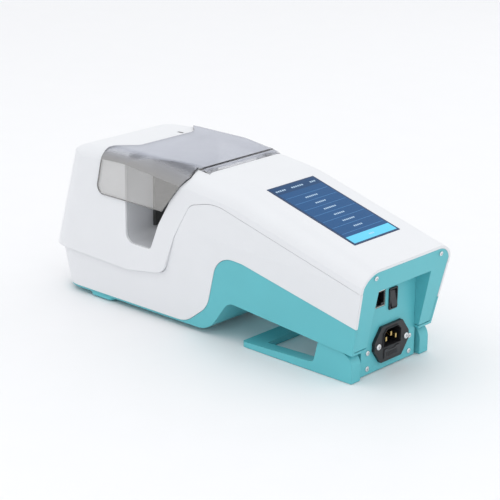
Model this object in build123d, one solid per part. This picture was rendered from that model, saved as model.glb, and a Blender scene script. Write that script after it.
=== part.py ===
from build123d import *
import functools
import math
import os

# Bench-top tubing sealer: a teal base, a white two-part housing with a crosswise tube channel
# under a hinged guard, a touch screen on the neck, a swing-out stand and a rear connector panel.
# Millimetres. +X runs from the sealing head to the rear panel, +Z is up, and the origin is the
# centre of the footprint, on the bench.

# ---- driving dimensions -------------------------------------------------------------------
WALL = 2.6                      # moulded wall
GAP = 0.3                       # open joint between neighbouring mouldings
HEAD_X, LIP_Z = -203.5, 47.5    # foremost point, the lip of the upper shell
HEAD_LEAN = 0.287               # the head's front leans back this much per mm of height
TAIL_X = 208.0                  # rearmost point, the top edge of the rear frame
HEAD_HALF, TAIL_HALF = 65.5, 64.3
CORNER_R = 30.0                 # plan radius of the head's front corners
HEAD_EDGE_R, NECK_EDGE_R = 13.0, 22.0   # radii along the top edges
TUBE_X = -60.0                  # in the tube channel, where the two edge radii may change over
TOP_Z = 159.9
SLOPE = 15.5                    # fall of the neck's top, degrees
SLOPE_START = (65.6, 148.7)     # where the neck's straight slope begins
NECK_START, NECK_BEND = (-16, TOP_Z), 54.0  # the neck's top leaves the head's here and bends here
REAR_LEAN = 0.2                 # the rear face leans back this much per mm of height
REAR_FOOT = (190.3, 25.0)       # lower end of the rear face

FLOOR_Z = 5.2                   # underside of the head
ARCH_FALL = 0.0908              # fall of the neck's underside per mm
BASE_HALF_HEAD, BASE_HALF_TAIL = 60.9, 55.5
FLARE_Z = 140.0                 # top of the lower body's flared sides
FLARE_HALF_HEAD, FLARE_HALF_TAIL = 66.3, 68.2
FOOT_X, FLARE_X = -188.2, -219.4    # front of the lower body at the bench and at FLARE_Z

CHANNEL_WALL_X = -87.0          # head-side wall of the tube channel
CHANNEL_FLOOR_Z = 71.5
HINGE = (3.0, 150.6)            # guard hinge axis, x and z
TROUGH_R = 9.2
BARREL_R = 8.6
GUARD_T = 1.6
GUARD_LIFT = 0.25               # air between the guard and the shell
HINGE_HALF = 49.5               # half-width of the hinge barrel
GUARD_FRONT_X, GUARD_HEM_Z = -94.5, 113.5   # front edge on top, lower edge of the skirts
SKIRT_X, SKIRT_Y = -119.0, 65.0  # where the top's swept front edge runs into the skirts

JAW_Z = 95.0                    # height of the jaw drive
JAW_HALF_Y, JAW_HALF_Z = 28.0, 15.0
FIXED_FACE_X, MOVING_FACE_X = -84.0, -46.0
ROD_Y, ROD_R = 22.0, 4.0
SCREW_R = 4.0
SHAFT_CLEAR = 0.05

SCREEN_RUN = 104.0              # length of the screen along x
SCREEN_L, SCREEN_W = SCREEN_RUN / math.cos(math.radians(SLOPE)), 64.8
PANEL_X = 186.1                 # outer face of the rear panel
PANEL_HALF = 39.3
RECESS_HALF, RECESS_TOP = 38.0, 86.5

PIVOT = (174.0, 13.0)           # stand pivot axis, x and z
STAND_HALF, STAND_T = 56.0, 12.5
STAND_FRONT_X, STAND_REAR_X = 57.0, 189.5

NODES = {}


# ---- helpers --------------------------------------------------------------------------------
def xz_face(*edges):
    """A face on the side view, from edges drawn with (x, z) points."""
    return Plane.XZ * make_face(Curve() + list(edges))


def side_solid(face, y0, y1):
    """The side-view face pushed from y0 to y1."""
    return Pos(0, y1, 0) * extrude(face, amount=y1 - y0)


def band(points, radii, closing, half=90.0):
    """The region on one side of a path with rounded corners, as a solid across the width."""
    path = FilletPolyline(*points, radius=radii)
    rest = Polyline(points[-1], *closing, points[0])
    return side_solid(xz_face(path, rest), -half, half)


def box(x0, x1, y0, y1, z0, z1):
    return Pos((x0 + x1) / 2, (y0 + y1) / 2, (z0 + z1) / 2) * Box(x1 - x0, y1 - y0, z1 - z0)


def rod_x(x0, x1, y, z, r):
    return Pos((x0 + x1) / 2, y, z) * Rot(0, 90, 0) * Cylinder(r, x1 - x0)


def rod_y(y0, y1, x, z, r):
    return Pos(x, (y0 + y1) / 2, z) * Rot(90, 0, 0) * Cylinder(r, y1 - y0)


def rod_z(z0, z1, x, y, r):
    return Pos(x, y, (z0 + z1) / 2) * Cylinder(r, z1 - z0)


def both_sides(solid):
    return [solid, mirror(solid, about=Plane.XZ)]


def fused(pieces):
    pieces = list(pieces)
    total = pieces[0]
    for piece in pieces[1:]:
        total = total + piece
    return total


def write(name, *solids):
    """Keep one node: its solids go out together as one STEP file."""
    parts = []
    for item in solids:
        parts.extend(item.solids())
    NODES[name] = parts[0] if len(parts) == 1 else Compound(children=parts)


def front_x(z):
    return HEAD_X + HEAD_LEAN * (z - LIP_Z)


def rear_x(z):
    return REAR_FOOT[0] + REAR_LEAN * (z - REAR_FOOT[1])


# ---- outer envelopes --------------------------------------------------------------------------
def upper_profile():
    """Side view of the upper shell's outside, closed well below the seam: lines and arcs."""
    fall = math.tan(math.radians(SLOPE))
    end_x = TAIL_X + 22
    end = (end_x, SLOPE_START[1] - (end_x - SLOPE_START[0]) * fall)
    path = [(front_x(40), 40), (front_x(152), 152), (-142, 157.6), (-108, TOP_Z), NECK_START,
            (NECK_BEND, SLOPE_START[1] + (SLOPE_START[0] - NECK_BEND) * fall), end]
    top = FilletPolyline(*path, radius=[38, 100, 200, 300, 200])
    return make_face(Curve() + [top, Polyline(end, (end_x, 0), (path[0][0], 0), path[0])])


def plan(front_x, back_x, front_half, back_half, radius, z=0.0):
    """Rounded plan outline that narrows from front to back."""
    corners = [(front_x, -front_half), (back_x, -back_half), (back_x, back_half), (front_x, front_half)]
    face = make_face(Polyline(*corners, close=True))
    front = face.vertices().sort_by(Axis.X)[:2]
    return Pos(0, 0, z) * fillet(front, radius)


@functools.cache
def upper_slab(inset, edge_r):
    """The upper shell's outer shape with one top edge radius, moved inwards by inset all over."""
    profile = upper_profile()
    if inset:
        profile = offset(profile, amount=-inset)
    half = HEAD_HALF - inset
    slab = side_solid(Plane.XZ * profile, -half, half)
    long_edges = [e for e in slab.edges() if abs(abs(e.center().Y) - half) < 0.01
                  and e.center().Z > 45 and e.center().X < TAIL_X + 15]
    slab = fillet(long_edges, edge_r - inset)
    ahead = inset * math.hypot(1, HEAD_LEAN) - 0.05
    outlines = [plan(front_x(z) + ahead, TAIL_X + 24, half, TAIL_HALF - inset - 0.3, CORNER_R - inset, z)
                for z in (0, 200)]
    return slab & loft(outlines, ruled=True)


@functools.cache
def upper_envelope(inset):
    """The upper shell's outer shape: tighter edges on the head, rounder ones on the neck."""
    head = upper_slab(inset, HEAD_EDGE_R) & box(-260, TUBE_X, -90, 90, 0, 220)
    neck = upper_slab(inset, NECK_EDGE_R) & box(TUBE_X, 260, -90, 90, 0, 220)
    return head + neck


@functools.cache
def guard_envelope(lift):
    """The outer shape that the guard follows: its edges grow rounder from the head to the neck."""
    fall = math.atan2(NECK_START[1] - SLOPE_START[1] - (SLOPE_START[0] - NECK_BEND)
                      * math.tan(math.radians(SLOPE)), NECK_BEND - NECK_START[0])
    block = Box(600, 2 * (HEAD_HALF + lift), 200)
    block = fillet(block.edges().filter_by(Axis.X), NECK_EDGE_R + lift)
    place = Pos(NECK_START[0], 0, NECK_START[1]) * Rot(0, math.degrees(fall), 0) * Pos(0, 0, lift - 100)
    return upper_slab(-lift, HEAD_EDGE_R) & (place * block)


@functools.cache
def lower_envelope(inset):
    """The lower body's flared outer shape, moved inwards by inset."""
    foot = plan(FOOT_X + inset, 232, BASE_HALF_HEAD - inset, BASE_HALF_TAIL - inset, 28 - inset, 0)
    rise = plan(FLARE_X + inset, 232, FLARE_HALF_HEAD - inset, FLARE_HALF_TAIL - inset, 30 - inset, FLARE_Z)
    return loft([foot, rise], ruled=True)


def above_seam(lift=0.0):
    """Everything above the split line between the upper shell and the lower body."""
    path = [(-240, 47.5), (-85, 43), (-37, 51), (-22, 91), (-1, 127), (30, 135), (240, 80)]
    path = [(x, z + lift) for x, z in path]
    return band(path, [30, 14, 50, 14, 50], [(240, 260), (-240, 260)])


def below_boundary(drop=0.0):
    """Everything below the line where the white side meets the teal base."""
    path = [(-240, 6.8), (-12, 6.8), (17, 29), (33, 86), (64, 84.1), (240, 45)]
    path = [(x, z - drop) for x, z in path]
    return band(path, [30, 30, 25, 40], [(240, -40), (-240, -40)])


def above_arch(rise=0.0):
    """Everything above the underside: flat under the head, arched up behind it."""
    path = [(-240, FLOOR_Z), (17 - rise, FLOOR_Z), (44 - rise, 41), (240, 41 - 196 * ARCH_FALL)]
    path = [(x, z + rise) for x, z in path]
    return band(path, [28, 14], [(240, 260), (-240, 260)])


def before_rear(back=0.0):
    """Everything in front of the leaning rear face."""
    low, high = rear_x(-20) - back, rear_x(200) - back
    return side_solid(xz_face(Polyline((-260, -20), (low, -20), (high, 200), (-260, 200), close=True)),
                      -90, 90)


# ---- tube channel -----------------------------------------------------------------------------
def channel_region(grow=0.0):
    """The tube channel's side view: head wall, floor and the neck's curved front."""
    w, f = CHANNEL_WALL_X - grow, CHANNEL_FLOOR_Z - grow
    path = [(w, 200), (w, f), (-53.5 + grow, f), (-42.5 + grow, 99 - grow / 2),
            (-23 + grow, 132 - grow / 2), (-4 + grow, 151.5 - grow), (-2 + grow, 200)]
    return band(path, [10, 5, 40, 40, 3], [])


def trough(radius, half=HINGE_HALF + 0.5):
    return rod_y(-half, half, *HINGE, radius)


def screen_plane(depth=0.0):
    """Centre of the screen on the neck's slope, depth below the surface."""
    slope = math.radians(SLOPE)
    mid = (SLOPE_START[0] + SCREEN_RUN / 2, 0, SLOPE_START[1] - SCREEN_RUN / 2 * math.tan(slope))
    place = Plane(origin=mid, x_dir=(math.cos(slope), 0, -math.sin(slope)),
                  z_dir=(math.sin(slope), 0, math.cos(slope)))
    return place * Pos(0, 0, -depth)


def screen_block(length, width, top, bottom):
    """A block on the screen's plane, from depth top to depth bottom."""
    return screen_plane((top + bottom) / 2) * Box(length, width, bottom - top)


# ---- housing ----------------------------------------------------------------------------------
def make_housing():
    inner = upper_envelope(WALL)
    upper = (upper_envelope(0) & above_seam(GAP / 2) & before_rear()) - inner
    mouth = box(-10, -1.5, -HINGE_HALF - 0.5, HINGE_HALF + 0.5, 153, 170)
    upper = largest(upper - channel_region() - trough(TROUGH_R) - mouth)
    upper = upper - screen_block(SCREEN_L + 0.6, SCREEN_W + 0.6, -5, 12)
    wall = trough(TROUGH_R + WALL, HINGE_HALF + WALL + 0.5) - trough(TROUGH_R)
    wall = wall & box(-1, 30, -62, 62, 130, 156)
    upper = upper + (wall & inner)
    write("top_shell", upper - status_window(-GAP / 3, 170))
    write("status_window", status_window(0, TOP_Z - 0.3))

    side = (lower_envelope(0) - lower_envelope(WALL)) & outer_limit(0)
    side = (side - above_seam(-GAP / 2)) - below_boundary(-GAP)
    side = side & above_arch(0) & before_rear()
    write("lower_shell", side)
    return inner


def largest(shape):
    """The main body of a cut, without the crumbs that the cut leaves."""
    return max(shape.solids(), key=lambda solid: solid.volume)


def status_window(inset, top):
    return box(-110 + inset, -102 - inset, 28.5 + inset, 31.5 - inset, TOP_Z - 2.4, top)


def outer_limit(inset):
    """The upper shell's plan outline carried down to the bench."""
    outline = plan(HEAD_X + inset, TAIL_X + 24, HEAD_HALF - inset, TAIL_HALF - inset - 0.3,
                   CORNER_R - inset)
    return extrude(outline, amount=200)


BOSS_SPOTS = [(-155, 38), (-90, 38), (-32, 38)]
DECK_SPOTS = [(66, 36), (140, 36)]
DECK_Z = 47.0


def make_base():
    skin, core = lower_envelope(0.5), lower_envelope(3.0)
    base = (skin & outer_limit(0.5) & above_arch() & below_boundary() & before_rear())
    base = base - (core & above_arch(WALL))
    pod = box(150, 184, -PANEL_HALF, PANEL_HALF, 1, 36) - box(150 + WALL, 190, -PANEL_HALF + WALL,
                                                              PANEL_HALF - WALL, 1 + WALL, 40)
    base = base - box(150 + WALL, 184, -PANEL_HALF + WALL, PANEL_HALF - WALL, 0, 80)
    base = base - box(184, 220, -PANEL_HALF - 0.2, PANEL_HALF + 0.2, -5, 27.5)
    base = base - box(184, 220, -RECESS_HALF, RECESS_HALF, -5, 120)
    base = base + pod
    bosses = [rod_z(6, 12, x, s * y, 4.5) for x, y in BOSS_SPOTS for s in (-1, 1)]
    bosses += [rod_z(42 - ARCH_FALL * (x - 44), DECK_Z, x, s * y, 4.5)
               for x, y in DECK_SPOTS for s in (-1, 1)]
    base = fused([base] + bosses)
    for x, y in BOSS_SPOTS:
        for s in (-1, 1):
            base = base - rod_z(0, 20, x, s * y, 1.7) - rod_z(0, 7.2, x, s * y, 3.4)
    for x, y in DECK_SPOTS:
        for s in (-1, 1):
            base = base - rod_z(DECK_Z - 7, DECK_Z + 1, x, s * y, 1.5)
    for s in (-1, 1):
        base = base - rod_y(*sorted((s * 37, s * 40)), *PIVOT, 3.0)
    write("base_shell", base)

    screws = [rod_z(5.6, 7.2, x, s * y, 3.2) + rod_z(7.2, 16, x, s * y, 1.65)
              for x, y in BOSS_SPOTS for s in (-1, 1)]
    write("base_screws", *screws)

    foot = box(-146, -114, 44, 60.2, 0.8, FLOOR_Z + 2)
    foot = fillet(foot.edges().filter_by(Axis.Z), 6)
    foot = fillet(foot.faces().sort_by(Axis.Z)[0].edges(), 2.5)
    foot = foot - below_floor_clear()
    write("front_feet", *both_sides(foot))
    write("foot_pads", *both_sides(rod_z(0, 0.8, -130, 52, 5.0)))


def below_floor_clear():
    """The head's floor, taken out of the feet so that they sit flush under it."""
    return box(-200, 0, -70, 70, FLOOR_Z, 20)


# ---- rear end ---------------------------------------------------------------------------------
def rear_plane_at(y, z, lift=0.0):
    """A place on the leaning rear face, with local +Z out of the face."""
    lean = math.atan(REAR_LEAN)
    out = (math.cos(lean), 0, -math.sin(lean))
    origin = (rear_x(z) + lift * out[0], y, z + lift * out[2])
    return Plane(origin=origin, x_dir=(0, 1, 0), z_dir=out)


def pan_screw(head_r, head_h, shank_r, shank_l):
    """A pan-head screw along local Z with its head above the origin and a cross recess."""
    head = Pos(0, 0, head_h / 2) * Cylinder(head_r, head_h)
    head = fillet(head.edges().sort_by(Axis.Z)[-1], head_h * 0.55)
    shank = Pos(0, 0, -shank_l / 2) * Cylinder(shank_r, shank_l)
    slot = Box(head_r * 1.1, head_r * 0.28, head_h) + Box(head_r * 0.28, head_r * 1.1, head_h)
    return head + shank - Pos(0, 0, head_h) * slot


FRAME_SCREWS = [(-47.0, 101.7), (47.0, 101.7)]
PANEL_SCREWS = [(y, z) for y in (-30.5, 30.5) for z in (22.0, 7.0)]
INLET_Y, INLET_Z = 1.0, 25.5
SWITCH_Y, SWITCH_Z = 3.7, 65.7
SWITCH_HALF_Y, SWITCH_HALF_Z = 5.9, 10.3
JACK_Y, JACK_Z = -15.0, 69.0
JACK_HALF_Y, JACK_HALF_Z = 8.3, 7.6


def make_rear(inner):
    foot_z = 31.0
    depth = Polyline((PANEL_X + 0.1, foot_z), (rear_x(foot_z) - 0.2, foot_z), (rear_x(118) - 0.2, 118),
                     (PANEL_X + 0.1, 118), close=True)
    slab = side_solid(xz_face(depth), -70, 70)
    fit = (inner & above_seam()) + (lower_envelope(WALL + 0.1) - above_seam())
    frame = slab & fit & upper_envelope(WALL + 0.1) & lower_envelope(WALL + 0.1)
    frame = frame - box(180, 215, -RECESS_HALF, RECESS_HALF, 0, RECESS_TOP)
    frame = frame - below_tail()
    for y, z in FRAME_SCREWS:
        frame = frame - rear_plane_at(y, z) * Cylinder(1.3, 24)
    write("rear_frame", frame)
    write("frame_screws", *[rear_plane_at(y, z) * pan_screw(2.3, 1.3, 1.25, 9)
                            for y, z in FRAME_SCREWS])

    panel = box(PANEL_X - 2, PANEL_X, -PANEL_HALF, PANEL_HALF, 1, 27.4)
    panel = panel + box(PANEL_X - 2, PANEL_X, -37.9, 37.9, 27.4, 31)
    panel = panel + box(PANEL_X - 2, PANEL_X, -44, 44, 31, 96)
    panel = panel - inlet_cutout(0.15)
    panel = panel - box(180, 190, SWITCH_Y - 5.0, SWITCH_Y + 5.0, SWITCH_Z - 9.5, SWITCH_Z + 9.5)
    panel = panel - box(180, 190, JACK_Y - JACK_HALF_Y - 0.2, JACK_Y + JACK_HALF_Y + 0.2,
                        JACK_Z - JACK_HALF_Z - 0.2, JACK_Z + JACK_HALF_Z + 0.2)
    for y, z in PANEL_SCREWS:
        panel = panel - rod_x(180, 190, y, z, 1.3)
    for s in (-1, 1):
        panel = panel - rod_x(180, 190, INLET_Y + 20 * s, INLET_Z, 1.55)
    write("rear_panel", panel)
    out = Plane(origin=(PANEL_X, 0, 0), x_dir=(0, 1, 0), z_dir=(1, 0, 0))
    write("panel_screws", *[out * Pos(y, z, 0) * pan_screw(2.5, 1.3, 1.25, 1.8) for y, z in PANEL_SCREWS])
    make_inlet(out)
    make_switch(out)
    make_jack()


def below_tail(half=70.0):
    """The flared base's side walls at the tail, kept clear of the frame and panel."""
    lower = (lower_envelope(0) - lower_envelope(3.3)) & below_boundary(-1)
    return lower & box(175, 215, -half - 30, half + 30, 0, 70)


def inlet_cutout(grow=0.0):
    return box(150, 195, INLET_Y - 14 - grow, INLET_Y + 14 + grow,
               INLET_Z - 15 - grow, INLET_Z + 14.5 + grow)


def make_inlet(out):
    flange = [(-25, -4), (-15, -17.2), (15, -17.2), (25, -4), (25, 4), (15, 17.2), (-15, 17.2), (-25, 4)]
    face = make_face(Polyline(*flange, close=True))
    plate = out * Pos(INLET_Y, INLET_Z, 0) * extrude(fillet(face.vertices(), 1.6), amount=3.2)
    body = inlet_cutout(0) & box(160, PANEL_X + 3.2, -40, 40, 0, 60)
    inlet = plate + body
    socket_z = INLET_Z + 5.4
    mouth = [(-12.1, -8.1), (12.1, -8.1), (12.1, 3.9), (7.6, 8.1), (-7.6, 8.1), (-12.1, 3.9)]
    well = out * Pos(INLET_Y, socket_z, 3.2) * extrude(make_face(Polyline(*mouth, close=True)), amount=-16)
    inlet = inlet - well
    inlet = inlet - box(PANEL_X - 19, 195, INLET_Y - 11.3, INLET_Y + 11.3, INLET_Z - 14.2, INLET_Z - 5.0)
    for s in (-1, 1):
        inlet = inlet - rod_x(180, 195, INLET_Y + 20 * s, INLET_Z, 1.55)
    write("mains_inlet", inlet)
    pins = [(0, 1.8), (-7, -1.9), (7, -1.9)]
    blades = [out * Pos(INLET_Y + y, socket_z + z, -5.3) * Box(2.0, 4.0, 15) for y, z in pins]
    write("inlet_pins", *blades)
    drawer = box(PANEL_X - 17.8, PANEL_X + 3.9, INLET_Y - 11.1, INLET_Y + 11.1,
                 INLET_Z - 14.0, INLET_Z - 5.2)
    tray = [box(PANEL_X - 17, PANEL_X - 0.6, INLET_Y + y - 2.9, INLET_Y + y + 2.9, INLET_Z - 12.6, INLET_Z)
            for y in (-5.4, 5.4)]
    lip = box(PANEL_X + 3.2, 200, INLET_Y - 5, INLET_Y + 5, INLET_Z - 6.6, INLET_Z)
    write("fuse_drawer", drawer - tray[0] - tray[1] - lip)
    fuses = [rod_x(PANEL_X - 16.5, PANEL_X - 1.2, INLET_Y + y, INLET_Z - 9.6, 2.6) for y in (-5.4, 5.4)]
    write("fuses", *fuses)
    heads = [out * Pos(INLET_Y + 20 * s, INLET_Z, 3.2) * pan_screw(3.0, 1.7, 1.5, 7) for s in (-1, 1)]
    write("inlet_screws", *heads)


def make_switch(out):
    bezel = out * Pos(SWITCH_Y, SWITCH_Z, 0.8) * Box(2 * SWITCH_HALF_Y, 2 * SWITCH_HALF_Z, 1.6)
    bezel = fillet(bezel.edges().filter_by(Axis.X), 1.2)
    bezel = fillet(bezel.faces().sort_by(Axis.X)[-1].edges(), 0.6)
    can = box(PANEL_X - 18, PANEL_X, SWITCH_Y - 4.9, SWITCH_Y + 4.9, SWITCH_Z - 9.4, SWITCH_Z + 9.4)
    hollow = box(PANEL_X - 8, PANEL_X + 5, SWITCH_Y - 4.3, SWITCH_Y + 4.3, SWITCH_Z - 8.8, SWITCH_Z + 8.8)
    frame = bezel + can - hollow
    axle_x = PANEL_X - 1.6
    frame = frame + rod_y(SWITCH_Y - 4.6, SWITCH_Y + 4.6, axle_x, SWITCH_Z, 1.0)
    write("power_switch_frame", frame)
    rocker = Polyline((axle_x - 2.0, SWITCH_Z - 6.4), (axle_x + 4.6, SWITCH_Z - 7.2),
                      (axle_x + 2.6, SWITCH_Z), (axle_x + 1.8, SWITCH_Z + 7.2),
                      (axle_x - 3.0, SWITCH_Z + 6.4), close=True)
    rocker = side_solid(xz_face(rocker), SWITCH_Y - 4.0, SWITCH_Y + 4.0)
    rocker = rocker - rod_y(SWITCH_Y - 9, SWITCH_Y + 9, axle_x, SWITCH_Z, 1.0 + SHAFT_CLEAR)
    write("power_rocker", rocker)


def make_jack():
    y0, y1, z0, z1 = JACK_Y - JACK_HALF_Y, JACK_Y + JACK_HALF_Y, JACK_Z - JACK_HALF_Z, JACK_Z + JACK_HALF_Z
    can = box(PANEL_X - 20, PANEL_X - 0.4, y0, y1, z0, z1)
    can = can - box(PANEL_X - 19.4, 200, y0 + 0.5, y1 - 0.5, z0 + 0.5, z1 - 0.5)
    write("network_jack_shell", can)
    core = box(PANEL_X - 19.4, PANEL_X - 0.8, y0 + 0.5, y1 - 0.5, z0 + 0.5, z1 - 0.5)
    core = core - box(PANEL_X - 14, 200, y0 + 1.7, y1 - 1.7, z0 + 3.2, z1 - 1.6)
    core = core - box(PANEL_X - 14, 200, JACK_Y - 3.1, JACK_Y + 3.1, z0 + 1.4, z0 + 4)
    contacts = [box(PANEL_X - 13, PANEL_X - 4, y - 0.2, y + 0.2, z1 - 2.8, z1 - 1.6)
                for y in (JACK_Y + 1.02 * (k - 3.5) for k in range(8))]
    write("network_jack_insert", core)
    write("jack_contacts", *contacts)


# ---- swing-out stand --------------------------------------------------------------------------
def make_stand():
    inner = STAND_HALF - STAND_T
    side = FilletPolyline((STAND_FRONT_X, 0.5), (STAND_FRONT_X, 5.5), (145, 9), (150, 30.7),
                          (STAND_REAR_X, 26.3), (STAND_REAR_X, 0.5), radius=[1.5, 6, 1.5, 13])
    rest = Line((STAND_REAR_X, 0.5), (STAND_FRONT_X, 0.5))
    yoke = side_solid(xz_face(side, rest), -STAND_HALF, STAND_HALF)
    yoke = yoke - box(79, 250, -inner, inner, -5, 60)
    yoke = yoke & extrude(plan(STAND_FRONT_X, 200, STAND_HALF, STAND_HALF, 6), amount=60)
    for s in (-1, 1):
        bore = sorted((s * (inner - 1), s * (STAND_HALF - 2.5)))
        yoke = yoke - rod_y(*bore, *PIVOT, 3.0 + SHAFT_CLEAR)
    write("stand", yoke)
    pins = [rod_y(*sorted((s * 37, s * (STAND_HALF - 3))), *PIVOT, 3.0) for s in (-1, 1)]
    write("stand_pivot_pins", *pins)
    spots = [(68, 46), (180, 49.7)]
    write("stand_pads", *[rod_z(0, 0.5, x, s * y, 4.5) for x, y in spots for s in (-1, 1)])


# ---- guard ------------------------------------------------------------------------------------
def make_guard():
    outside = guard_envelope(GUARD_LIFT + GUARD_T)
    skin = outside - guard_envelope(GUARD_LIFT)
    side = FilletPolyline((-150, 220), (-150, GUARD_HEM_Z), (-36.3, GUARD_HEM_Z), (-28, 124),
                          (-9.5, 146.4), (-5, 152), (-3.4, 220), radius=[8, 0.6, 30, 30, 3])
    reach = side_solid(xz_face(side, Line((-3.4, 220), (-150, 220))), -80, 80)
    middle = box(-110, HINGE[0] - 3.5, -HINGE_HALF, HINGE_HALF, 149, 220)
    plan_edge = Spline((GUARD_FRONT_X, -33), (-99, -42), (-109, -51.5), (-117, -60),
                       (SKIRT_X, -SKIRT_Y), tangents=((0, -1), (0, -1)))
    rest = Polyline((SKIRT_X, -SKIRT_Y), (-131, -SKIRT_Y), (-131, -80), (60, -80), (60, 0),
                    (GUARD_FRONT_X, 0), (GUARD_FRONT_X, -33))
    cap = extrude(make_face(Curve() + [plan_edge, rest]), amount=220)
    cap = cap + mirror(cap, about=Plane.XZ)
    lean = FilletPolyline((-93.2, 260), (-126.6, GUARD_HEM_Z), (60, GUARD_HEM_Z), radius=8)
    corner = side_solid(xz_face(lean, Polyline((60, GUARD_HEM_Z), (60, 260), (-93.2, 260))), -80, 80)
    sheet = skin & (reach + middle) & cap & corner
    ring = rod_y(-HINGE_HALF, HINGE_HALF, *HINGE, BARREL_R)
    ring = ring - rod_y(-70, 70, *HINGE, BARREL_R - GUARD_T)
    arc = Polyline(HINGE, (HINGE[0] - 6, HINGE[1] + 30), (HINGE[0] + 40, HINGE[1] + 30),
                   (HINGE[0] + 40, HINGE[1] + 22), close=True)
    ring = ring & side_solid(xz_face(arc), -80, 80) & outside
    barrel = rod_y(-HINGE_HALF, HINGE_HALF, *HINGE, BARREL_R) & box(-4, 1.6, -80, 80, 156.5, 170)
    link = (barrel + box(-4, HINGE[0] - 3.5, -HINGE_HALF, HINGE_HALF, 156.5, 170)) & outside
    knuckles = [rod_y(*sorted((s * 31, s * 44)), *HINGE, BARREL_R - 0.8) & outside for s in (-1, 1)]
    guard = fused([sheet, link, ring] + knuckles)
    guard = guard - rod_y(-70, 70, *HINGE, 2.0 + SHAFT_CLEAR)
    write("guard", guard)
    write("guard_hinge_pins", *both_sides(rod_y(26.5, 49, *HINGE, 2.0)))
    ears = []
    for y0, y1 in ((45, 49), (26, 30)):
        ear = box(HINGE[0] - 3.5, HINGE[0] + 3.5, y0, y1, HINGE[1] - 12, HINGE[1])
        ear = ear + rod_y(y0, y1, *HINGE, 4.2)
        ear = (ear & trough(TROUGH_R) & upper_envelope(0.4)) - rod_y(y0 - 1, y1 + 1, *HINGE, 2.0)
        ears += both_sides(ear)
    write("hinge_ears", *ears)


# ---- sealing jaws and their drive -------------------------------------------------------------
def make_channel():
    liner = channel_region(2.2) - channel_region(0)
    liner = liner & box(-100, 20, -70, 70, 60, 151.0) & upper_envelope(WALL + 0.4)
    liner = liner - trough(TROUGH_R + WALL + 0.3, HINGE_HALF + WALL + 0.8)
    liner = liner - box(-60, -20, -30, 30, 78.5, 112.5)
    for y, z in SPACERS:
        liner = liner - rod_x(-95, -85, y, z, 3.3)
    write("channel_liner", liner)


SPACERS = [(y, z) for y in (-20, 20) for z in (88, 138)]


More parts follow.
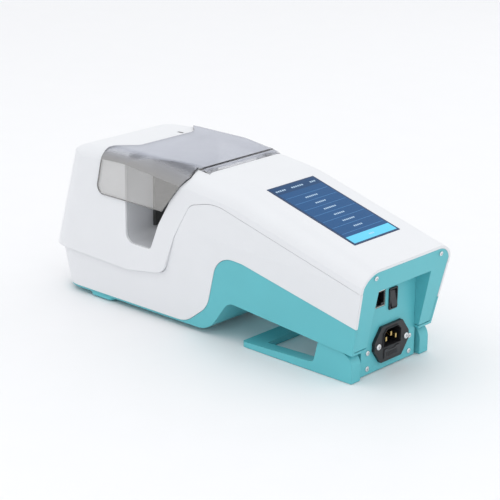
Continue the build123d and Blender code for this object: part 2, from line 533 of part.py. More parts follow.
def make_jaws():
    plate = box(CHANNEL_WALL_X + 0.15, FIXED_FACE_X, -JAW_HALF_Y, JAW_HALF_Y, 80, 149)
    plate = fillet(plate.faces().sort_by(Axis.X)[-1].edges(), 0.8)
    write("fixed_jaw", plate)
    write("fixed_jaw_spacers", *[rod_x(-92, CHANNEL_WALL_X + 0.15, y, z, 3.0) for y, z in SPACERS])
    tower = box(-98, -92, -34, 34, 15, 146)
    web = Polyline((-98, 15), (-134, 15), (-98, 90), close=True)
    webs = [side_solid(xz_face(web), s * 28 - 2, s * 28 + 2) for s in (-1, 1)]
    write("jaw_tower", fused([tower] + webs))

    z0, z1 = JAW_Z - JAW_HALF_Z, JAW_Z + JAW_HALF_Z
    jaw = box(MOVING_FACE_X, MOVING_FACE_X + 9, -JAW_HALF_Y, JAW_HALF_Y, z0, z1)
    jaw = chamfer(jaw.faces().sort_by(Axis.X)[0].edges(), 1.2)
    heater_x, heater_zs = MOVING_FACE_X + 4.6, (z0 + 8, z1 - 8)
    for z in heater_zs:
        jaw = jaw - rod_y(-JAW_HALF_Y + 6, JAW_HALF_Y + 1, heater_x, z, 2.5)
    write("moving_jaw", jaw)
    write("jaw_heaters", *[rod_y(-JAW_HALF_Y + 6, JAW_HALF_Y, heater_x, z, 2.5) for z in heater_zs])
    write("jaw_insulator", box(MOVING_FACE_X + 9, MOVING_FACE_X + 14, -JAW_HALF_Y, JAW_HALF_Y, z0, z1))
    rod_start = MOVING_FACE_X + 14
    write("push_rods", *[rod_x(rod_start, 30, s * ROD_Y, JAW_Z, ROD_R) for s in (-1, 1)])

    head = box(-28, -20, -38, 38, 15, 113)
    head = head - box(-30, -18, -26, 26, 24, 66)
    for s in (-1, 1):
        head = head - rod_x(-30, -18, s * ROD_Y, JAW_Z, 7.5)
    write("jaw_bulkhead", head - rod_x(-30, -18, 0, JAW_Z, 8.0))
    bushes = [rod_x(-28, -18, s * ROD_Y, JAW_Z, 7.5)
              - rod_x(-30, -16, s * ROD_Y, JAW_Z, ROD_R + SHAFT_CLEAR) for s in (-1, 1)]
    write("rod_bushes", *bushes)
    bearing = rod_x(-27.5, -20.5, 0, JAW_Z, 8.0)
    write("screw_bearing", bearing - rod_x(-30, -18, 0, JAW_Z, SCREW_R + SHAFT_CLEAR))

    block = box(20, 32, -33, 33, JAW_Z - 12, JAW_Z + 12)
    block = fillet(block.edges().filter_by(Axis.X), 3)
    for s in (-1, 1):
        block = block - rod_x(19, 30, s * ROD_Y, JAW_Z, ROD_R)
    write("jaw_carriage", block - rod_x(10, 40, 0, JAW_Z, 7.0))
    nut = rod_x(20, 32, 0, JAW_Z, 7.0) + rod_x(32, 35, 0, JAW_Z, 11.0)
    write("lead_nut", nut - rod_x(10, 40, 0, JAW_Z, SCREW_R + 0.08))
    write("lead_screw", rod_x(-27, 54, 0, JAW_Z, SCREW_R))
    write("shaft_coupler", rod_x(46, 64, 0, JAW_Z, 9.0) - rod_x(45, 54, 0, JAW_Z, SCREW_R)
          - rod_x(54, 65, 0, JAW_Z, 2.5))
    write("motor_shaft", rod_x(56, 82, 0, JAW_Z, 2.5))
    motor = box(72, 112, -21, 21, JAW_Z - 21, JAW_Z + 21)
    motor = chamfer(motor.edges().filter_by(Axis.X), 3.5) + rod_x(70, 72, 0, JAW_Z, 11.0)
    write("stepper_motor", motor - rod_x(69, 83, 0, JAW_Z, 2.5 + SHAFT_CLEAR))
    bracket = box(68, 72, -27, 27, DECK_Z + 2, JAW_Z + 25) + box(52, 72, -27, 27, DECK_Z + 2, DECK_Z + 5)
    write("motor_bracket", bracket - rod_x(60, 80, 0, JAW_Z, 11.0))
    write("tie_rods", *[rod_x(-20, 68, s * 24.0, 70, 3.0) for s in (-1, 1)])


# ---- chassis and electronics ------------------------------------------------------------------
def make_inside():
    plate = box(-165, -16, -46, 46, 12, 15)
    for x, y in BOSS_SPOTS:
        for s in (-1, 1):
            plate = plate - rod_z(10, 17, x, s * y, 1.7)
    write("chassis_plate", plate)
    deck = box(50, 150, -42, 42, DECK_Z, DECK_Z + 2)
    for x, y in DECK_SPOTS:
        for s in (-1, 1):
            deck = deck - rod_z(DECK_Z - 1, DECK_Z + 3, x, s * y, 1.6)
    write("neck_deck", deck)
    screws = [rod_z(DECK_Z - 6, DECK_Z + 2, x, s * y, 1.45)
              + rod_z(DECK_Z + 2, DECK_Z + 4, x, s * y, 2.8) for x, y in DECK_SPOTS for s in (-1, 1)]
    write("deck_screws", *screws)

    board = box(-176, -138, -36, 36, 21, 22.6)
    bulk = [box(-172, -150, -28, -4, 22.6, 46), box(-170, -160, 6, 30, 22.6, 40)]
    caps = [rod_z(22.6, 44, -145, y, 5.0) for y in (-24, -10, 4)]
    write("power_supply", fused([board] + bulk + caps))
    write("board_standoffs", *[rod_z(15, 21, x, s * 32, 2.5) for x in (-162, -142) for s in (-1, 1)],
          *[rod_z(DECK_Z + 2, 54, x, s * 30, 2.5) for x in (118, 146) for s in (-1, 1)])

    logic = box(114, 150, -36, 36, 54, 55.6)
    chips = [box(122, 134, -8, 4, 55.6, 57.4), box(124, 132, 14, 24, 55.6, 57),
             box(138, 147, -34, -20, 55.6, 66)]
    write("controller_board", fused([logic] + chips))

    glass = screen_block(SCREEN_L, SCREEN_W, -0.3, 1.5)
    write("touch_glass", glass)
    write("display_module", screen_block(SCREEN_L - 2, SCREEN_W - 2, 1.5, 6.5))
    ring = screen_block(SCREEN_L + 8, SCREEN_W + 8, WALL + 0.5, WALL + 3)
    write("display_frame", ring - screen_block(SCREEN_L - 1.8, SCREEN_W - 1.8, 0, 9))
    write("guard_sensor", box(-120, -110, 36, 42, 142, 150))
    write("buzzer", rod_z(DECK_Z + 2, DECK_Z + 9, 100, -30, 6.0))


def main():
    inner = make_housing()
    make_base()
    make_rear(inner)
    make_stand()
    make_guard()
    make_channel()
    make_jaws()
    make_inside()
    os.makedirs("parts", exist_ok=True)
    for name, solid in NODES.items():
        export_step(solid, f"parts/{name}.step")
    print(len(NODES), "nodes")


main()
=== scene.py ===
"""Bench-top tubing sealer: finishes and fine pieces around its CAD frame.

Metres, +X from the sealing head to the rear panel, +Z up.
"""
import math

import bmesh
import bpy
from mathutils import Matrix, Vector


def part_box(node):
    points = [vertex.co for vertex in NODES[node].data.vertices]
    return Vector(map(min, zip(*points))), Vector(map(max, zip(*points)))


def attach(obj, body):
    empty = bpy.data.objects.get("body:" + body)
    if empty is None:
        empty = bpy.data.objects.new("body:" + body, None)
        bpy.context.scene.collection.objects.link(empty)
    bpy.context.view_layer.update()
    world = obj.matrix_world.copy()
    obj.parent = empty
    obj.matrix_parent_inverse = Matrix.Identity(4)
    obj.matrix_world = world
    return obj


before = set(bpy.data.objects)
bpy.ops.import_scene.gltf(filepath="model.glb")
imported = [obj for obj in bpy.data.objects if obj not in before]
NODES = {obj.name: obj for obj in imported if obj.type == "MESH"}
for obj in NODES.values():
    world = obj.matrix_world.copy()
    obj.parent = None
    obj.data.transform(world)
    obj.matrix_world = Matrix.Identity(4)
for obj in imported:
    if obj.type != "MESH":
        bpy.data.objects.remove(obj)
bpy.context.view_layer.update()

bl_info = {
    "name": "Bench-top tubing sealer",
    "version": (1, 0, 0),
    "blender": (4, 5, 0),
    "location": "View3D > Sidebar > Sealer",
    "description": "Finishes, screen picture, jaw ribs, guard rim, inlet and stage of a tubing sealer",
    "category": "Object",
}

SLOPE = math.radians(15.5)              # fall of the neck's top
HINGE = Vector((0.003, 0, 0.1506))      # a point on the guard's hinge axis
TROUGH_RADIUS = 0.0092                  # radius of the trough that the hinge barrel lies in
FILM = 0.00006                          # thickness of a layer of the lit picture
PICTURE_LIFT, MARK_LIFT = 0.00005, 0.00010      # heights of the picture's two layers over the glass
PAINTED_BEND_SHADE = (0.12, 0.115, 0.11)        # colour of the painted shade laid on the smoked sheet along its moulded bends


# ---- sizes and colours a user would change ------------------------------------------------------
class ShellSettings(bpy.types.PropertyGroup):
    white: bpy.props.FloatVectorProperty(
        name="Shell white", description="Colour of the upper and lower shells", subtype="COLOR",
        size=3, min=0, max=1, default=(0.77, 0.78, 0.80))
    teal: bpy.props.FloatVectorProperty(
        name="Base teal", description="Colour of the base, stand and rear frame", subtype="COLOR",
        size=3, min=0, max=1, default=(0.115, 0.49, 0.545))
    grain: bpy.props.FloatProperty(
        name="Moulded grain", description="Strength of the fine moulded texture", subtype="FACTOR",
        min=0, max=1, default=0.12)


class GuardSettings(bpy.types.PropertyGroup):
    tint: bpy.props.FloatVectorProperty(
        name="Smoke tint", description="Colour of the guard's top", subtype="COLOR",
        size=3, min=0, max=1, default=(0.47, 0.49, 0.56))
    # painted light: the upright skirts get a lighter, warmer colour than the top of the same sheet
    skirt_painted_light: bpy.props.FloatVectorProperty(
        name="Skirt painted light", description="Lighter colour painted on the guard's upright skirts for the light on them", subtype="COLOR",
        size=3, min=0, max=1, default=(0.80, 0.785, 0.76))
    density: bpy.props.FloatProperty(
        name="Smoke density", description="How much of what lies behind the guard it hides",
        subtype="FACTOR", min=0, max=1, default=0.22)


class ScreenSettings(bpy.types.PropertyGroup):
    border: bpy.props.FloatProperty(
        name="Border", description="Dark margin round the lit picture", subtype="DISTANCE",
        unit="LENGTH", min=0.0005, max=0.01, default=0.0022)
    rows: bpy.props.IntProperty(
        name="Rows", description="Number of list rows on the picture", min=1, max=12, default=6)
    navy: bpy.props.FloatVectorProperty(
        name="Picture blue", description="Colour of the list rows", subtype="COLOR",
        size=3, min=0, max=1, default=(0.006, 0.062, 0.175))
    cyan: bpy.props.FloatVectorProperty(
        name="Bar cyan", description="Colour of the bar at the rear end", subtype="COLOR",
        size=3, min=0, max=1, default=(0.105, 0.48, 0.68))


class JawSettings(bpy.types.PropertyGroup):
    ribs: bpy.props.IntProperty(
        name="Jaw ribs", description="Number of fine ribs on each jaw face", min=2, max=60, default=16)
    rib_height: bpy.props.FloatProperty(
        name="Rib height", description="How far a rib stands out of the jaw face", subtype="DISTANCE",
        unit="LENGTH", min=0.0001, max=0.001, default=0.0004)


# ---- materials ----------------------------------------------------------------------------------
def material(name, base, roughness=0.4, grain=0.0, grain_scale=900.0, mottle=0.03, edge=0.0,
             **sockets):
    """A procedural finish: slow colour mottle, uneven gloss, a fine grain and softened sharp edges."""
    made = bpy.data.materials.new(name)
    made.use_nodes = True
    nodes, links = made.node_tree.nodes, made.node_tree.links
    shader = nodes["Principled BSDF"]
    where = nodes.new("ShaderNodeTexCoord")
    slow = nodes.new("ShaderNodeTexNoise")
    slow.inputs["Scale"].default_value = 22.0
    slow.inputs["Detail"].default_value = 4.0
    links.new(where.outputs["Object"], slow.inputs["Vector"])
    tone = nodes.new("ShaderNodeValToRGB")
    low = [max(0.0, c * (1 - mottle)) for c in base]
    high = [min(1.0, c * (1 + mottle)) for c in base]
    tone.color_ramp.elements[0].position, tone.color_ramp.elements[1].position = 0.3, 0.7
    tone.color_ramp.elements[0].color = (*low, 1)
    tone.color_ramp.elements[1].color = (*high, 1)
    links.new(slow.outputs["Fac"], tone.inputs["Fac"])
    links.new(tone.outputs["Color"], shader.inputs["Base Color"])
    gloss = nodes.new("ShaderNodeMapRange")
    gloss.inputs["To Min"].default_value = roughness * 0.88
    gloss.inputs["To Max"].default_value = min(1.0, roughness * 1.14)
    links.new(slow.outputs["Fac"], gloss.inputs["Value"])
    links.new(gloss.outputs["Result"], shader.inputs["Roughness"])
    if edge:
        soft = nodes.new("ShaderNodeBevel")
        soft.samples = 4
        soft.inputs["Radius"].default_value = edge
        links.new(soft.outputs["Normal"], shader.inputs["Normal"])
    if grain:
        fine = nodes.new("ShaderNodeTexNoise")
        fine.inputs["Scale"].default_value = grain_scale
        fine.inputs["Detail"].default_value = 2.0
        links.new(where.outputs["Object"], fine.inputs["Vector"])
        bump = nodes.new("ShaderNodeBump")
        bump.inputs["Strength"].default_value = grain
        bump.inputs["Distance"].default_value = 0.0002
        links.new(fine.outputs["Fac"], bump.inputs["Height"])
        if edge:
            links.new(soft.outputs["Normal"], bump.inputs["Normal"])
        links.new(bump.outputs["Normal"], shader.inputs["Normal"])
    for socket, value in sockets.items():
        shader.inputs[socket.replace("_", " ")].default_value = value
    return made


def machined(name, base, roughness, axis):
    """Bare metal with drawn lines along one axis."""
    made = material(name, base, roughness, Metallic=1.0)
    nodes, links = made.node_tree.nodes, made.node_tree.links
    shader = nodes["Principled BSDF"]
    where = nodes.new("ShaderNodeTexCoord")
    place = nodes.new("ShaderNodeMapping")
    stretch = [700.0, 700.0, 700.0]
    stretch[axis] = 25.0
    place.inputs["Scale"].default_value = stretch
    lines = nodes.new("ShaderNodeTexNoise")
    lines.inputs["Scale"].default_value = 1.0
    bump = nodes.new("ShaderNodeBump")
    bump.inputs["Strength"].default_value = 0.12
    bump.inputs["Distance"].default_value = 0.0001
    links.new(where.outputs["Object"], place.inputs["Vector"])
    links.new(place.outputs["Vector"], lines.inputs["Vector"])
    links.new(lines.outputs["Fac"], bump.inputs["Height"])
    links.new(bump.outputs["Normal"], shader.inputs["Normal"])
    return made


def smoked_sheet(name, tint, skirt_painted_light, density):
    """Smoked sheet: clearer face on, denser at a glance, with painted shade along its bends and a lighter
    painted skirt.
    """
    made = material(name, tint, roughness=0.07, mottle=0.05)
    nodes, links = made.node_tree.nodes, made.node_tree.links
    shader = nodes["Principled BSDF"]
    shader.inputs["IOR"].default_value = 1.49
    edge = nodes.new("ShaderNodeLayerWeight")
    smoke = nodes.new("ShaderNodeMapRange")
    for socket, value in (("From Min", 0.38), ("From Max", 0.75), ("To Min", density), ("To Max", 0.8)):
        smoke.inputs[socket].default_value = value
    links.new(edge.outputs["Facing"], smoke.inputs["Value"])
    where = nodes.new("ShaderNodeTexCoord")
    split = nodes.new("ShaderNodeSeparateXYZ")
    upward = nodes.new("ShaderNodeMath")
    upward.operation = "ABSOLUTE"
    links.new(where.outputs["Normal"], split.inputs["Vector"])
    links.new(split.outputs["Z"], upward.inputs[0])
    # painted shade along the bends: a mask on faces between top and skirts that darkens them and makes them
    # denser
    painted_bend_shade = nodes.new("ShaderNodeValToRGB")
    painted_bend_shade.color_ramp.interpolation = "EASE"
    for position, value in ((0.04, 0.0), (0.22, 0.6), (0.55, 0.42), (0.88, 0.0)):
        stop = painted_bend_shade.color_ramp.elements.new(position)
        stop.color = (value, value, value, 1)
    painted_bend_shade.color_ramp.elements.remove(painted_bend_shade.color_ramp.elements[0])
    painted_bend_shade.color_ramp.elements[-1].color = (0, 0, 0, 1)
    links.new(upward.outputs[0], painted_bend_shade.inputs["Fac"])
    tone = shader.inputs["Base Color"].links[0].from_socket
    # painted light: upright faces turn to the lighter skirt colour, upward faces keep the darker top tint;
    # then the painted bend shade
    for factor, colour, flip in ((upward.outputs[0], skirt_painted_light, True),
                                 (painted_bend_shade.outputs["Color"], PAINTED_BEND_SHADE, False)):
        shade = nodes.new("ShaderNodeMix")
        shade.data_type = "RGBA"
        pair = [socket for socket in shade.inputs if socket.type == "RGBA"]
        plain, mixed = pair[::-1] if flip else pair
        mixed.default_value = (*colour, 1)
        links.new(factor, shade.inputs["Factor"])
        links.new(tone, plain)
        tone = [socket for socket in shade.outputs if socket.type == "RGBA"][0]
    links.new(tone, shader.inputs["Base Color"])
    total = nodes.new("ShaderNodeMath")
    total.use_clamp = True
    links.new(smoke.outputs["Result"], total.inputs[0])
    links.new(painted_bend_shade.outputs["Color"], total.inputs[1])
    links.new(total.outputs[0], shader.inputs["Alpha"])
    return made


def lit_picture(name, colour, glow):
    """A patch of the lit picture: colour under glass that gives a little light of its own."""
    made = material(name, colour, roughness=0.3, mottle=0.04, Specular_IOR_Level=0.12)
    shader = made.node_tree.nodes["Principled BSDF"]
    shader.inputs["Emission Color"].default_value = (*colour, 1)
    shader.inputs["Emission Strength"].default_value = glow
    return made


FINISHES = {}


def finish_library():
    """Every finish, made once."""
    if FINISHES:
        return FINISHES
    shell = bpy.context.scene.sealer_shell
    guard = bpy.context.scene.sealer_guard
    screen = bpy.context.scene.sealer_screen
    moulded = {"grain": shell.grain, "edge": 0.0006, "Specular_IOR_Level": 0.45}
    FINISHES.update(
        white=material("shell white", tuple(shell.white), 0.34, mottle=0.012, **moulded),
        liner=material("liner grey", (0.56, 0.57, 0.59), 0.5, 0.25),
        teal=material("base teal", tuple(shell.teal), 0.38, mottle=0.02, **moulded),
        black=material("black plastic", (0.012, 0.012, 0.014), 0.42, 0.3, edge=0.0003),
        satin_black=material("satin black", (0.02, 0.02, 0.023), 0.3, 0.1, edge=0.0003),
        coating=material("jaw coating", (0.035, 0.036, 0.036), 0.55, 0.35, 1400),
        rubber=material("foot rubber", (0.03, 0.03, 0.032), 0.75, 0.4, 500),
        guard=smoked_sheet("smoked sheet", tuple(guard.tint), tuple(guard.skirt_painted_light), guard.density),
        glass=material("screen glass", (0.010, 0.045, 0.13), 0.2, Specular_IOR_Level=0.2),
        navy=lit_picture("picture navy", tuple(screen.navy), 0.35),
        header=lit_picture("picture header", (0.005, 0.042, 0.12), 0.35),
        cyan=lit_picture("picture cyan", tuple(screen.cyan), 0.35),
        mark=lit_picture("picture marks", (0.40, 0.54, 0.68), 0.3),
        rule=lit_picture("picture rules", (0.055, 0.17, 0.36), 0.35),
        # partly painted shade: the rim's dark stands both for the sheet's cut edge and for the shade in the
        # gap beside it
        rim=material("smoked rim and gap shade", (0.09, 0.09, 0.095), 0.25),
        chrome=material("plated screw", (0.78, 0.78, 0.79), 0.16, 0.06, 600, Metallic=1.0),
        tin=material("jack tin", (0.70, 0.68, 0.62), 0.26, 0.08, 600, Metallic=1.0),
        brass=material("brass", (0.66, 0.47, 0.18), 0.27, 0.06, 600, Metallic=1.0),
        gold=material("gold contact", (0.86, 0.62, 0.22), 0.2, Metallic=1.0),
        steel=machined("ground steel", (0.56, 0.56, 0.57), 0.28, 0),
        aluminium=machined("milled aluminium", (0.62, 0.63, 0.64), 0.38, 1),
        phenolic=material("phenolic board", (0.20, 0.10, 0.045), 0.55, 0.3, 500, 0.12),
        ceramic=material("ceramic", (0.78, 0.77, 0.73), 0.5, 0.2, 700),
        circuit=material("circuit board", (0.02, 0.13, 0.05), 0.35, 0.25, 500, 0.1),
    )
    return FINISHES


NODE_FINISH = {
    "white": ("top_shell", "lower_shell", "hinge_ears"),
    "teal": ("base_shell", "rear_frame", "rear_panel", "stand", "front_feet"),
    "liner": ("channel_liner",),
    "guard": ("guard",),
    "coating": ("fixed_jaw", "moving_jaw"),
    "rubber": ("foot_pads", "stand_pads"),
    "black": ("mains_inlet", "power_switch_frame", "network_jack_insert", "display_module",
              "display_frame", "buzzer", "guard_sensor", "stepper_motor"),
    "satin_black": ("fuse_drawer", "power_rocker", "status_window"),
    "glass": ("touch_glass",),
    "chrome": ("base_screws", "deck_screws", "panel_screws", "frame_screws", "inlet_screws"),
    "tin": ("network_jack_shell",),
    "gold": ("jack_contacts",),
    "brass": ("inlet_pins", "rod_bushes", "lead_nut", "board_standoffs"),
    "steel": ("stand_pivot_pins", "guard_hinge_pins", "push_rods", "lead_screw", "motor_shaft",
              "screw_bearing", "tie_rods", "jaw_heaters"),
    "aluminium": ("jaw_tower", "jaw_bulkhead", "jaw_carriage", "shaft_coupler", "motor_bracket",
                  "chassis_plate", "neck_deck"),
    "phenolic": ("jaw_insulator",),
    "ceramic": ("fixed_jaw_spacers", "fuses"),
    "circuit": ("power_supply", "controller_board"),
}


# ---- mesh helpers -------------------------------------------------------------------------------
def new_piece(name, mesh_or_bm, finish, body, bevel=0.0, segments=3):
    """Link a finished mesh as one piece that rides on a body."""
    if isinstance(mesh_or_bm, bmesh.types.BMesh):
        mesh = bpy.data.meshes.new(name)
        bmesh.ops.recalc_face_normals(mesh_or_bm, faces=mesh_or_bm.faces)
        mesh_or_bm.to_mesh(mesh)
        mesh_or_bm.free()
    else:
        mesh = mesh_or_bm
        mesh.name = name
    piece = bpy.data.objects.new(name, mesh)
    bpy.context.scene.collection.objects.link(piece)
    if finish is not None:
        mesh.materials.clear()
        mesh.materials.append(finish)
    if bevel:
        soft = piece.modifiers.new("soft edges", "BEVEL")
        soft.width, soft.segments, soft.limit_method = bevel, segments, "ANGLE"
        soft.harden_normals = True
        for face in mesh.polygons:
            face.use_smooth = True
    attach(piece, body)
    return piece


def rounded_slab(bm, centre, size, radius, turn, steps=6):
    """Add a slab whose outline, seen along local Z, has rounded corners."""
    half_x, half_y, half_z = size[0] / 2 - radius, size[1] / 2 - radius, size[2] / 2
    outline = []
    for corner, (sx, sy) in enumerate(((1, 1), (-1, 1), (-1, -1), (1, -1))):
        for step in range(steps + 1):
            angle = math.pi / 2 * (corner + step / steps)
            outline.append((sx * half_x + radius * math.cos(angle),
                            sy * half_y + radius * math.sin(angle)))
    place = Matrix.Translation(centre) @ turn.to_4x4()
    rings = [[bm.verts.new(place @ Vector((x, y, z))) for x, y in outline] for z in (-half_z, half_z)]
    bm.faces.new(rings[0][::-1])
    bm.faces.new(rings[1])
    for i in range(len(outline)):
        j = (i + 1) % len(outline)
        bm.faces.new((rings[0][i], rings[0][j], rings[1][j], rings[1][i]))


# ---- geometry nodes -----------------------------------------------------------------------------
def row_tree(name, finish):
    """Copies of a bar along a line: inputs are their count, start and step, and the bar's size and turn."""
    tree = bpy.data.node_groups.new(name, "GeometryNodeTree")
    face = tree.interface
    face.new_socket("Geometry", in_out="INPUT", socket_type="NodeSocketGeometry")
    face.new_socket("Count", in_out="INPUT", socket_type="NodeSocketInt")
    for label in ("Start", "Step", "Size", "Turn"):
        face.new_socket(label, in_out="INPUT", socket_type="NodeSocketVector")
    face.new_socket("Geometry", in_out="OUTPUT", socket_type="NodeSocketGeometry")
    nodes, links = tree.nodes, tree.links
    inputs, outputs = nodes.new("NodeGroupInput"), nodes.new("NodeGroupOutput")
    line = nodes.new("GeometryNodeMeshLine")
    line.mode = "OFFSET"
    links.new(inputs.outputs["Count"], line.inputs["Count"])
    links.new(inputs.outputs["Start"], line.inputs["Start Location"])
    links.new(inputs.outputs["Step"], line.inputs["Offset"])
    bar = nodes.new("GeometryNodeMeshCube")
    links.new(inputs.outputs["Size"], bar.inputs["Size"])
    for side in ("Vertices X", "Vertices Y", "Vertices Z"):
        bar.inputs[side].default_value = 3
    spread = nodes.new("GeometryNodeInstanceOnPoints")
    links.new(line.outputs["Mesh"], spread.inputs["Points"])
    links.new(bar.outputs["Mesh"], spread.inputs["Instance"])
    links.new(inputs.outputs["Turn"], spread.inputs["Rotation"])
    real = nodes.new("GeometryNodeRealizeInstances")
    paint = nodes.new("GeometryNodeSetMaterial")
    paint.inputs["Material"].default_value = finish
    links.new(spread.outputs["Instances"], real.inputs["Geometry"])
    links.new(real.outputs["Geometry"], paint.inputs["Geometry"])
    links.new(paint.outputs["Geometry"], outputs.inputs["Geometry"])
    return tree


def grown(name, tree, values):
    """Run a tree on an empty mesh with the given input values and give back a plain mesh."""
    holder = bpy.data.objects.new(name + " grower", bpy.data.meshes.new(name + " seed"))
    bpy.context.scene.collection.objects.link(holder)
    grow = holder.modifiers.new("grow", "NODES")
    grow.node_group = tree
    for item in tree.interface.items_tree:
        if item.in_out == "INPUT" and item.name in values:
            grow[item.identifier] = values[item.name]
    holder.update_tag()
    bpy.context.view_layer.update()
    graph = bpy.context.evaluated_depsgraph_get()
    mesh = bpy.data.meshes.new_from_object(holder.evaluated_get(graph), depsgraph=graph)
    bpy.data.objects.remove(holder)
    return mesh


def merged(meshes):
    """One bmesh out of several meshes."""
    bm = bmesh.new()
    for mesh in meshes:
        bm.from_mesh(mesh)
    return bm


# ---- operators ----------------------------------------------------------------------------------
class SEALER_OT_finishes(bpy.types.Operator):
    """Give every CAD node its procedural finish"""
    bl_idname = "sealer.finishes"
    bl_label = "Finish the CAD nodes"

    def execute(self, context):
        finishes = finish_library()
        named = {node: key for key, group in NODE_FINISH.items() for node in group}
        missing = sorted(set(NODES) - set(named))
        if missing:
            raise RuntimeError(f"no finish for {missing}")
        for node, piece in NODES.items():
            piece.data.materials.clear()
            piece.data.materials.append(finishes[named[node]])
            for face in piece.data.polygons:
                face.material_index = 0
        return {"FINISHED"}


def screen_frame():
    """Centre of the glass's top face, and the turn of the screen's plane."""
    low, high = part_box("touch_glass")
    turn = Matrix.Rotation(SLOPE, 3, "Y")
    middle = (low + high) / 2 + turn @ Vector((0, 0, 0.0009))
    return middle, turn


class SEALER_OT_screen(bpy.types.Operator):
    """Build the lit picture on the touch glass: header, list rows with marks, rules and a bar"""
    bl_idname = "sealer.screen"
    bl_label = "Screen picture"

    def execute(self, context):
        finishes = finish_library()
        settings = context.scene.sealer_screen
        middle, turn = screen_frame()
        low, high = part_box("touch_glass")
        length = (high.x - low.x) / math.cos(SLOPE)
        width = high.y - low.y
        span, reach = length - 2 * settings.border, width - 2 * settings.border
        tilt = (0.0, SLOPE, 0.0)
        marks = row_tree("screen marks", finishes["mark"])
        rules = row_tree("screen rules", finishes["rule"])

        def spot(u, v, lift):
            """A place on the picture: u from the head end to the rear end, v across, both 0 to 1."""
            return middle + turn @ Vector(((u - 0.5) * span, (v - 0.5) * reach, lift))

        def patch(name, u0, u1, finish):
            bm = bmesh.new()
            rounded_slab(bm, spot((u0 + u1) / 2, 0.5, PICTURE_LIFT), ((u1 - u0) * span, reach, FILM),
                         0.0002, turn)
            return new_piece(name, bm, finish, "housing")

        def word(u, v, count, size):
            """A word-like run of small bars, centred on v."""
            step = size[1] * 1.75
            start = spot(u, v, MARK_LIFT) - turn @ Vector((0, step * (count - 1) / 2, 0))
            return grown("word", marks, {"Count": count, "Start": start, "Size": (*size, FILM),
                                         "Step": turn @ Vector((0, step, 0)), "Turn": tilt})

        header, first, last, bar = 0.105, 0.185, 0.845, 0.895
        patch("screen_header", 0.0, header, finishes["header"])
        patch("screen_list", header, bar, finishes["navy"])
        patch("screen_bar", bar, 1.0, finishes["cyan"])

        pitch = (last - first) / settings.rows
        mesh = grown("rules", rules, {"Count": settings.rows + 1, "Start": spot(first, 0.5, MARK_LIFT),
                                      "Step": turn @ Vector((pitch * span, 0, 0)),
                                      "Size": (0.0005, reach * 0.96, FILM), "Turn": tilt})
        new_piece("screen_rules", mesh, finishes["rule"], "housing")

        counts = (7, 6, 7, 6, 7, 5)
        words = [word(first + pitch * (row + 0.5), 0.5, counts[row % len(counts)], (0.0019, 0.0014))
                 for row in range(settings.rows)]
        words += [word(header * 0.52, v, count, (0.0021, 0.0016))
                  for v, count in ((0.14, 5), (0.52, 6), (0.88, 3))]
        words.append(word((bar + 1) / 2, 0.5, 3, (0.0018, 0.0014)))
        new_piece("screen_marks", merged(words), finishes["mark"], "housing")
        return {"FINISHED"}


class SEALER_OT_jaw_ribs(bpy.types.Operator):
    """Build the fine gripping ribs on both jaw faces"""
    bl_idname = "sealer.jaw_ribs"
    bl_label = "Jaw ribs"

    def execute(self, context):
        finishes = finish_library()
        settings = context.scene.sealer_jaw
        for node, body, side in (("fixed_jaw", "housing", 1), ("moving_jaw", "jaw", -1)):
            low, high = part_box(node)
            face_x = high.x if side > 0 else low.x
            tree = row_tree(node + " ribs", finishes["coating"])
            margin = 0.003
            pitch = (high.z - low.z - 2 * margin) / (settings.ribs - 1)
            start = (face_x + side * settings.rib_height / 2, 0, low.z + margin)
            mesh = grown(node, tree, {"Count": settings.ribs, "Start": start, "Step": (0, 0, pitch),
                                      "Turn": (0, 0, 0),
                                      "Size": (settings.rib_height, (high.y - low.y) * 0.86,
                                               pitch * 0.4)})
            new_piece(node + "_ribs", mesh, finishes["coating"], body)
        return {"FINISHED"}


class SEALER_OT_guard_rim(bpy.types.Operator):
    """Cover the guard's cut edges with a thin dark rim, partly the sheet's own denser edge and partly
    painted shade of the gap along it
    """
    bl_idname = "sealer.guard_rim"
    bl_label = "Guard rim"

    def execute(self, context):
        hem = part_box("guard")[0].z + 0.001
        bm = bmesh.new()
        bm.from_mesh(NODES["guard"].data)

        def is_rim(face):
            middle = face.calc_center_median()
            near_hinge = (Vector((middle.x, 0, middle.z)) - HINGE).length < TROUGH_RADIUS
            at_hem = face.normal.z < -0.9 and middle.z < hem
            return not near_hinge and (abs(face.normal.x) > 0.45 or at_hem)

        bmesh.ops.delete(bm, geom=[face for face in bm.faces if not is_rim(face)], context="FACES")
        bmesh.ops.remove_doubles(bm, verts=bm.verts, dist=0.00001)
        rim = new_piece("guard_rim", bm, finish_library()["rim"], "guard")
        shell = rim.modifiers.new("thickness", "SOLIDIFY")
        shell.thickness, shell.offset = 0.00024, 0.0
        return {"FINISHED"}


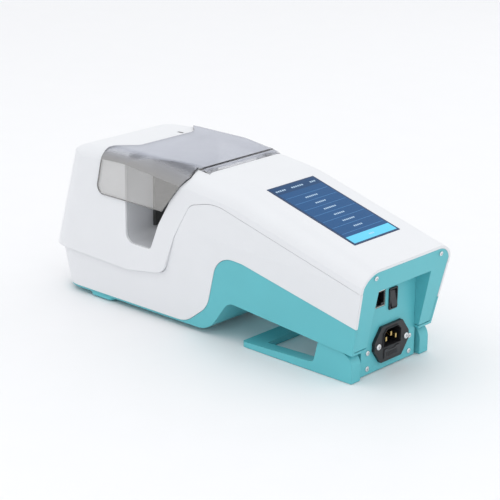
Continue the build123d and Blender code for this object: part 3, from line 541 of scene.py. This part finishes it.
class SEALER_OT_inlet(bpy.types.Operator):
    """Build the raised collar round the mains socket and the grip ribs on the fuse drawer"""
    bl_idname = "sealer.inlet"
    bl_label = "Inlet collar and drawer ribs"

    def execute(self, context):
        finishes = finish_library()
        low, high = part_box("mains_inlet")
        centre = Vector((high.x, (low.y + high.y) / 2, (low.z + high.z) / 2 + 0.0054))
        half_y, half_z = 0.0121, 0.0081
        mouth = ((-half_y, -half_z), (half_y, -half_z), (half_y, 0.0039), (0.0076, half_z),
                 (-0.0076, half_z), (-half_y, 0.0039))
        bm = bmesh.new()
        rings = []
        for grow, out in ((0.001, -0.0002), (0.001, 0.0009), (0.0002, 0.0009), (0.0002, -0.0002)):
            wider, taller = 1 + grow / half_y, 1 + grow / half_z
            rings.append([bm.verts.new(centre + Vector((out, y * wider, z * taller))) for y, z in mouth])
        for ring, other in zip(rings, rings[1:] + rings[:1]):
            for i in range(len(mouth)):
                j = (i + 1) % len(mouth)
                bm.faces.new((ring[i], ring[j], other[j], other[i]))
        new_piece("inlet_collar", bm, finishes["black"], "housing", 0.0003)

        low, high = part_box("fuse_drawer")
        tree = row_tree("drawer ribs", finishes["satin_black"])
        start = (high.x + 0.0001, (low.y + high.y) / 2, low.z + 0.0016)
        mesh = grown("ribs", tree, {"Count": 5, "Start": start, "Step": (0, 0, 0.0009),
                                    "Size": (0.0004, (high.y - low.y) * 0.7, 0.00042),
                                    "Turn": (0, 0, 0)})
        new_piece("drawer_ribs", mesh, finishes["satin_black"], "fuse_drawer")
        return {"FINISHED"}


class SEALER_OT_stage(bpy.types.Operator):
    """Build the pale floor, the soft studio light and the camera"""
    bl_idname = "sealer.stage"
    bl_label = "Stage"

    def execute(self, context):
        bm = bmesh.new()
        bmesh.ops.create_grid(bm, x_segments=1, y_segments=1, size=6.0)
        mesh = bpy.data.meshes.new("floor")
        bm.to_mesh(mesh)
        bm.free()
        floor = bpy.data.objects.new("floor", mesh)
        context.scene.collection.objects.link(floor)
        mesh.materials.append(material("pale floor", (0.90, 0.90, 0.91), 0.6, mottle=0.004))

        world = bpy.data.worlds.new("studio")
        world.use_nodes = True
        sky = world.node_tree.nodes["Background"]
        sky.inputs["Color"].default_value = (0.975, 0.985, 1.0, 1)
        sky.inputs["Strength"].default_value = 1.0
        context.scene.world = world
        lights = (("key", (-0.35, -0.6, 1.5), 1.2, 3.0), ("front", (1.5, -0.5, 0.8), 1.2, 1.5),
                  ("back", (0.1, 1.4, 1.0), 1.4, 1.5))
        for name, where, size, power in lights:
            lamp = bpy.data.lights.new(name, "AREA")
            lamp.energy, lamp.size = power, size
            lamp_object = bpy.data.objects.new(name, lamp)
            context.scene.collection.objects.link(lamp_object)
            lamp_object.location = where
            aim = Vector((0, 0, 0.07)) - Vector(where)
            lamp_object.rotation_euler = aim.to_track_quat("-Z", "Y").to_euler()

        camera = bpy.data.cameras.new("camera")
        camera.lens, camera.sensor_width = 120.84, 36.0
        holder = bpy.data.objects.new("camera", camera)
        context.scene.collection.objects.link(holder)
        place, aim = Vector((1.0378, -1.1311, 0.5857)), Vector((-0.0504, 0.0741, 0.0380))
        turn = (aim - place).to_track_quat("-Z", "Y").to_matrix()
        roll = Matrix.Rotation(math.radians(0.71), 3, "Z")
        holder.matrix_world = Matrix.Translation(place) @ (turn @ roll).to_4x4()
        context.scene.camera = holder
        context.scene.view_settings.view_transform = "Standard"
        return {"FINISHED"}


STEPS = (SEALER_OT_stage, SEALER_OT_finishes, SEALER_OT_screen, SEALER_OT_jaw_ribs,
         SEALER_OT_guard_rim, SEALER_OT_inlet)


class SEALER_PT_panel(bpy.types.Panel):
    """Lists the settings and the steps"""
    bl_idname = "SEALER_PT_panel"
    bl_label = "Tubing sealer"
    bl_space_type = "VIEW_3D"
    bl_region_type = "UI"
    bl_category = "Sealer"

    def draw(self, context):
        for group, _ in SETTINGS:
            settings = getattr(context.scene, group)
            for field in settings.__annotations__:
                self.layout.prop(settings, field)
        for step in STEPS:
            self.layout.operator(step.bl_idname)


SETTINGS = (("sealer_shell", ShellSettings), ("sealer_guard", GuardSettings),
            ("sealer_screen", ScreenSettings), ("sealer_jaw", JawSettings))


def register():
    for name, group in SETTINGS:
        bpy.utils.register_class(group)
        setattr(bpy.types.Scene, name, bpy.props.PointerProperty(type=group))
    for step in STEPS:
        bpy.utils.register_class(step)
    bpy.utils.register_class(SEALER_PT_panel)


def unregister():
    bpy.utils.unregister_class(SEALER_PT_panel)
    for step in reversed(STEPS):
        bpy.utils.unregister_class(step)
    for name, group in reversed(SETTINGS):
        delattr(bpy.types.Scene, name)
        bpy.utils.unregister_class(group)


def main():
    register()
    bpy.ops.sealer.stage()
    bpy.ops.sealer.finishes()
    bpy.ops.sealer.screen()
    bpy.ops.sealer.jaw_ribs()
    bpy.ops.sealer.guard_rim()
    bpy.ops.sealer.inlet()


if __name__ == "__main__":
    main()
